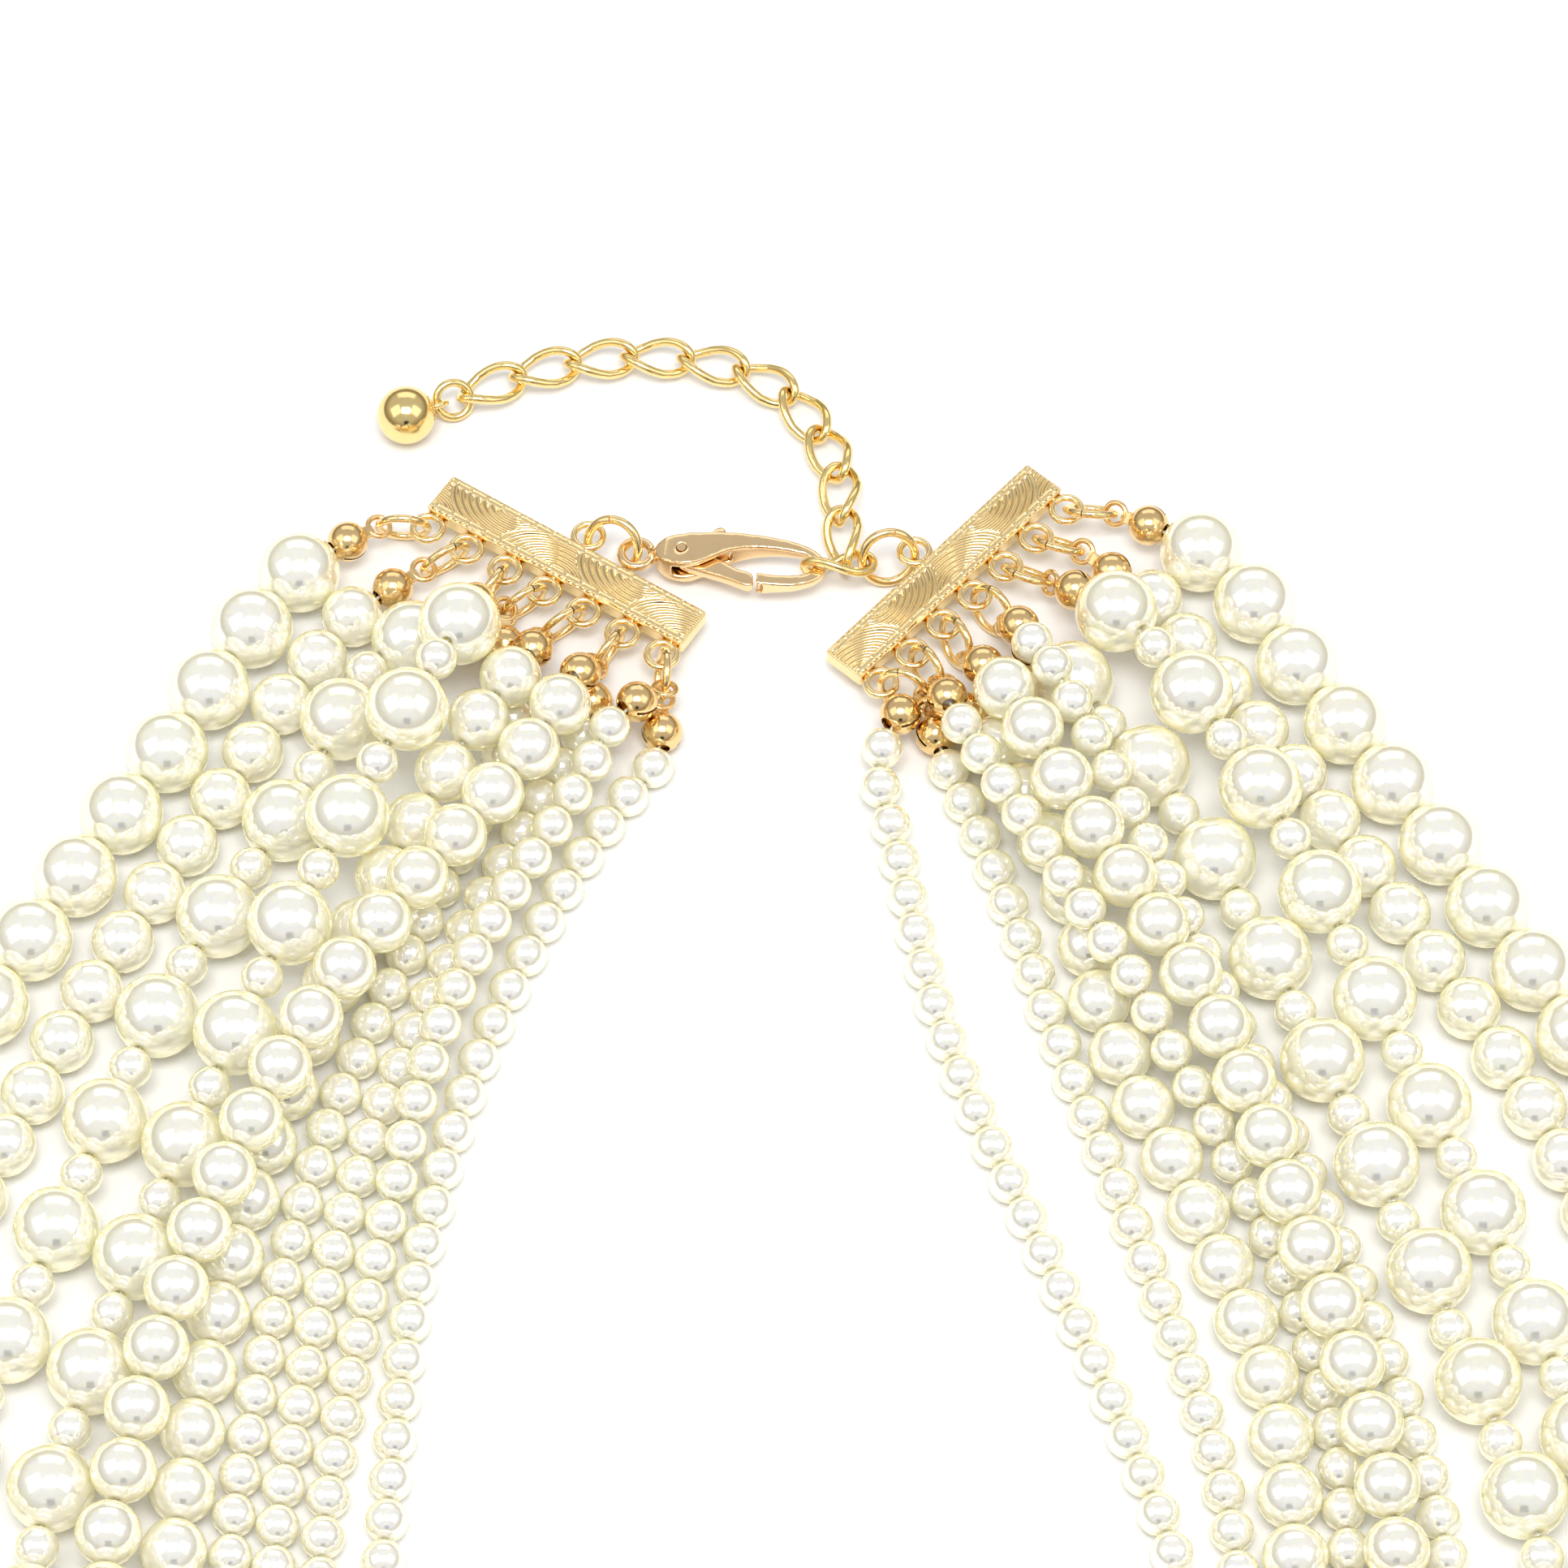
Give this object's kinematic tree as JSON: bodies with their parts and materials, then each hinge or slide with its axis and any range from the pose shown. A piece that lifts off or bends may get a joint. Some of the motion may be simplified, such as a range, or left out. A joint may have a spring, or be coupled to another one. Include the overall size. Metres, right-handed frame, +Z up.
{
  "type": "pearl necklace",
  "caption": "Bib of bead strands hung from two engraved spacer bars, closed by a lobster clasp with an extension chain.",
  "frame": {"origin": "on the table plane, half way between the centres of the two spacer bars", "axes": "+Z up from the table, +X from the clasp bar to the chain bar, +Y away from the bib"},
  "size_m": [0.1977, 0.2401, 0.0155],
  "materials": {
    "pearl": "pearl lustre",
    "thread": "matt beading thread",
    "bar_gold": "polished pale gold plating",
    "fitting_gold": "polished pale gold plating",
    "chain_gold": "polished gold plating",
    "spring_steel": "bright wire"
  },
  "bodies": {
    "bib": {"pearls_a": "pearl", "pearls_b": "pearl", "pearls_c": "pearl", "pearls_d": "pearl", "pearls_e": "pearl", "pearls_f": "pearl", "pearls_g": "pearl", "pearls_h": "pearl", "pearls_i": "pearl", "pearls_j": "pearl", "thread_a": "thread", "thread_b": "thread", "thread_c": "thread", "thread_d": "thread", "thread_e": "thread", "thread_f": "thread", "thread_g": "thread", "thread_h": "thread", "thread_i": "thread", "thread_j": "thread", "left_cups": "fitting_gold", "right_cups": "fitting_gold"},
    "left_bar": {"left_bar": "bar_gold"},
    "left_ring_1": {"left_ring_1": "fitting_gold"},
    "left_ring_2": {"left_ring_2": "fitting_gold"},
    "left_ring_3": {"left_ring_3": "fitting_gold"},
    "left_ring_4": {"left_ring_4": "fitting_gold"},
    "left_ring_5": {"left_ring_5": "fitting_gold"},
    "left_ring_6": {"left_ring_6": "fitting_gold"},
    "left_ring_7": {"left_ring_7": "fitting_gold"},
    "right_bar": {"right_bar": "bar_gold"},
    "right_ring_1": {"right_ring_1": "fitting_gold"},
    "right_ring_2": {"right_ring_2": "fitting_gold"},
    "right_ring_3": {"right_ring_3": "fitting_gold"},
    "right_ring_4": {"right_ring_4": "fitting_gold"},
    "right_ring_5": {"right_ring_5": "fitting_gold"},
    "right_ring_6": {"right_ring_6": "fitting_gold"},
    "right_ring_7": {"right_ring_7": "fitting_gold"},
    "left_end_ring": {"left_end_ring": "fitting_gold"},
    "right_end_ring": {"right_end_ring": "fitting_gold"},
    "clasp": {"clasp_body": "fitting_gold", "clasp_pin": "fitting_gold", "clasp_spring": "spring_steel"},
    "lever": {"clasp_lever": "fitting_gold"},
    "hook_link": {"hook_link": "chain_gold"},
    "tail_link_1": {"tail_link_1": "chain_gold"},
    "tail_link_2": {"tail_link_2": "chain_gold"},
    "tail_link_3": {"tail_link_3": "chain_gold"},
    "tail_link_4": {"tail_link_4": "chain_gold"},
    "tail_link_5": {"tail_link_5": "chain_gold"},
    "tail_link_6": {"tail_link_6": "chain_gold"},
    "tail_link_7": {"tail_link_7": "chain_gold"},
    "tail_link_8": {"tail_link_8": "chain_gold"},
    "tail_link_9": {"tail_link_9": "chain_gold"},
    "tail_link_10": {"tail_link_10": "chain_gold"},
    "tail_ring": {"tail_ring": "chain_gold"},
    "tail_ball": {"tail_ball": "chain_gold"}
  },
  "joints": [
    {"name": "left_bar_tilt", "type": "hinge", "parent": "bib", "child": "left_bar", "pos_m": [-0.02062, -0.00267, 0.0028], "axis": [0.8387, -0.5446, 0], "range_deg": [-3, 3]},
    {"name": "left_ring_1_turn", "type": "hinge", "parent": "bib", "child": "left_ring_1", "pos_m": [-0.0346, 0.00493, 0.0028], "axis": [0.0339, 0.9697, 0.2419], "continuous": true},
    {"name": "left_ring_2_turn", "type": "hinge", "parent": "bib", "child": "left_ring_2", "pos_m": [-0.0304, 0.0011, 0.0028], "axis": [-0.4997, 0.8317, 0.2419], "continuous": true},
    {"name": "left_ring_3_turn", "type": "hinge", "parent": "bib", "child": "left_ring_3", "pos_m": [-0.02575, -0.0022, 0.0028], "axis": [-0.8229, 0.5142, 0.2419], "continuous": true},
    {"name": "left_ring_4_turn", "type": "hinge", "parent": "bib", "child": "left_ring_4", "pos_m": [-0.02261, -0.00401, 0.0028], "axis": [-0.547, 0.8109, 0.2079], "continuous": true},
    {"name": "left_ring_5_turn", "type": "hinge", "parent": "bib", "child": "left_ring_5", "pos_m": [-0.01873, -0.00655, 0.0028], "axis": [-0.561, 0.8013, 0.2079], "continuous": true},
    {"name": "left_ring_6_turn", "type": "hinge", "parent": "bib", "child": "left_ring_6", "pos_m": [-0.01425, -0.00967, 0.0028], "axis": [-0.8109, 0.547, 0.2079], "continuous": true},
    {"name": "left_ring_7_turn", "type": "hinge", "parent": "bib", "child": "left_ring_7", "pos_m": [-0.00897, -0.01259, 0.0028], "axis": [-0.9776, -0.0341, 0.2079], "continuous": true},
    {"name": "right_bar_tilt", "type": "hinge", "parent": "bib", "child": "right_bar", "pos_m": [0.02141, -0.0032, 0.0028], "axis": [-0.6665, -0.7455, 0], "range_deg": [-3, 3]},
    {"name": "right_ring_1_turn", "type": "hinge", "parent": "bib", "child": "right_ring_1", "pos_m": [0.03299, 0.00684, 0.0028], "axis": [-0.0777, -0.7391, -0.6691], "continuous": true},
    {"name": "right_ring_2_turn", "type": "hinge", "parent": "bib", "child": "right_ring_2", "pos_m": [0.02979, 0.00284, 0.0028], "axis": [-0.2542, -0.6983, -0.6691], "continuous": true},
    {"name": "right_ring_3_turn", "type": "hinge", "parent": "bib", "child": "right_ring_3", "pos_m": [0.02667, -0.00075, 0.0028], "axis": [-0.3023, -0.6789, -0.6691], "continuous": true},
    {"name": "right_ring_4_turn", "type": "hinge", "parent": "bib", "child": "right_ring_4", "pos_m": [0.02307, -0.00493, 0.0028], "axis": [-0.698, -0.674, 0.2419], "continuous": true},
    {"name": "right_ring_5_turn", "type": "hinge", "parent": "bib", "child": "right_ring_5", "pos_m": [0.01954, -0.00871, 0.0028], "axis": [-0.8471, -0.4891, 0.2079], "continuous": true},
    {"name": "right_ring_6_turn", "type": "hinge", "parent": "bib", "child": "right_ring_6", "pos_m": [0.01662, -0.01205, 0.0028], "axis": [-0.8109, -0.547, 0.2079], "continuous": true},
    {"name": "right_ring_7_turn", "type": "hinge", "parent": "bib", "child": "right_ring_7", "pos_m": [0.01443, -0.01439, 0.0028], "axis": [-0.3664, -0.9069, 0.2079], "continuous": true},
    {"name": "left_end_ring_turn", "type": "hinge", "parent": "bib", "child": "left_end_ring", "pos_m": [-0.01396, 0.00279, 0.0028], "axis": [-0.3372, -0.7574, 0.5592], "continuous": true},
    {"name": "right_end_ring_turn", "type": "hinge", "parent": "bib", "child": "right_end_ring", "pos_m": [0.01302, 0.00136, 0.0028], "axis": [-0.2081, 0.8401, -0.5009], "continuous": true},
    {"name": "clasp_swing", "type": "hinge", "parent": "bib", "child": "clasp", "pos_m": [-0.01162, 0.00175, 0.0028], "axis": [0, 0, 1], "range_deg": [-0.3, 0.3]},
    {"name": "lever_open", "type": "hinge", "parent": "clasp", "child": "lever", "pos_m": [-0.00723, 0.00143, 0.0028], "axis": [0, 0, 1], "range_deg": [0, 16]},
    {"name": "hook_link_swing", "type": "hinge", "parent": "bib", "child": "hook_link", "pos_m": [0.00815, 0.00051, 0.0028], "axis": [0, 0, 1], "range_deg": [-1, 1]},
    {"name": "tail_link_1_swing", "type": "hinge", "parent": "hook_link", "child": "tail_link_1", "pos_m": [0.0089, 0.00132, 0.00188], "axis": [0, 0, 1], "range_deg": [-2, 1]},
    {"name": "tail_link_2_swing", "type": "hinge", "parent": "tail_link_1", "child": "tail_link_2", "pos_m": [0.00841, 0.00658, 0.00244], "axis": [0, 0, 1], "range_deg": [-2, 1]},
    {"name": "tail_link_3_swing", "type": "hinge", "parent": "tail_link_2", "child": "tail_link_3", "pos_m": [0.00829, 0.01196, 0.00236], "axis": [0, 0, 1], "range_deg": [-8, 0.5]},
    {"name": "tail_link_4_swing", "type": "hinge", "parent": "tail_link_3", "child": "tail_link_4", "pos_m": [0.00638, 0.01704, 0.0018], "axis": [0, 0, 1], "range_deg": [-8, 0.5]},
    {"name": "tail_link_5_swing", "type": "hinge", "parent": "tail_link_4", "child": "tail_link_5", "pos_m": [0.00336, 0.02187, 0.0018], "axis": [0, 0, 1], "range_deg": [-8, 0.5]},
    {"name": "tail_link_6_swing", "type": "hinge", "parent": "tail_link_5", "child": "tail_link_6", "pos_m": [-0.00147, 0.02489, 0.0018], "axis": [0, 0, 1], "range_deg": [-8, 0.5]},
    {"name": "tail_link_7_swing", "type": "hinge", "parent": "tail_link_6", "child": "tail_link_7", "pos_m": [-0.007, 0.02627, 0.0018], "axis": [0, 0, 1], "range_deg": [-8, 0.5]},
    {"name": "tail_link_8_swing", "type": "hinge", "parent": "tail_link_7", "child": "tail_link_8", "pos_m": [-0.0127, 0.02657, 0.0018], "axis": [0, 0, 1], "range_deg": [-8, 0.5]},
    {"name": "tail_link_9_swing", "type": "hinge", "parent": "tail_link_8", "child": "tail_link_9", "pos_m": [-0.01834, 0.02577, 0.0018], "axis": [0, 0, 1], "range_deg": [-8, 0.5]},
    {"name": "tail_link_10_swing", "type": "hinge", "parent": "tail_link_9", "child": "tail_link_10", "pos_m": [-0.02379, 0.02411, 0.0018], "axis": [0, 0, 1], "range_deg": [-8, 0.5]},
    {"name": "tail_ring_swing", "type": "hinge", "parent": "tail_link_10", "child": "tail_ring", "pos_m": [-0.02891, 0.02161, 0.0018], "axis": [0, 0, 1], "range_deg": [-4, 4]},
    {"name": "tail_ball_swing", "type": "hinge", "parent": "tail_ring", "child": "tail_ball", "pos_m": [-0.03178, 0.02056, 0.0018], "axis": [0, 0, 1], "range_deg": [-15, 15]}
  ]
}
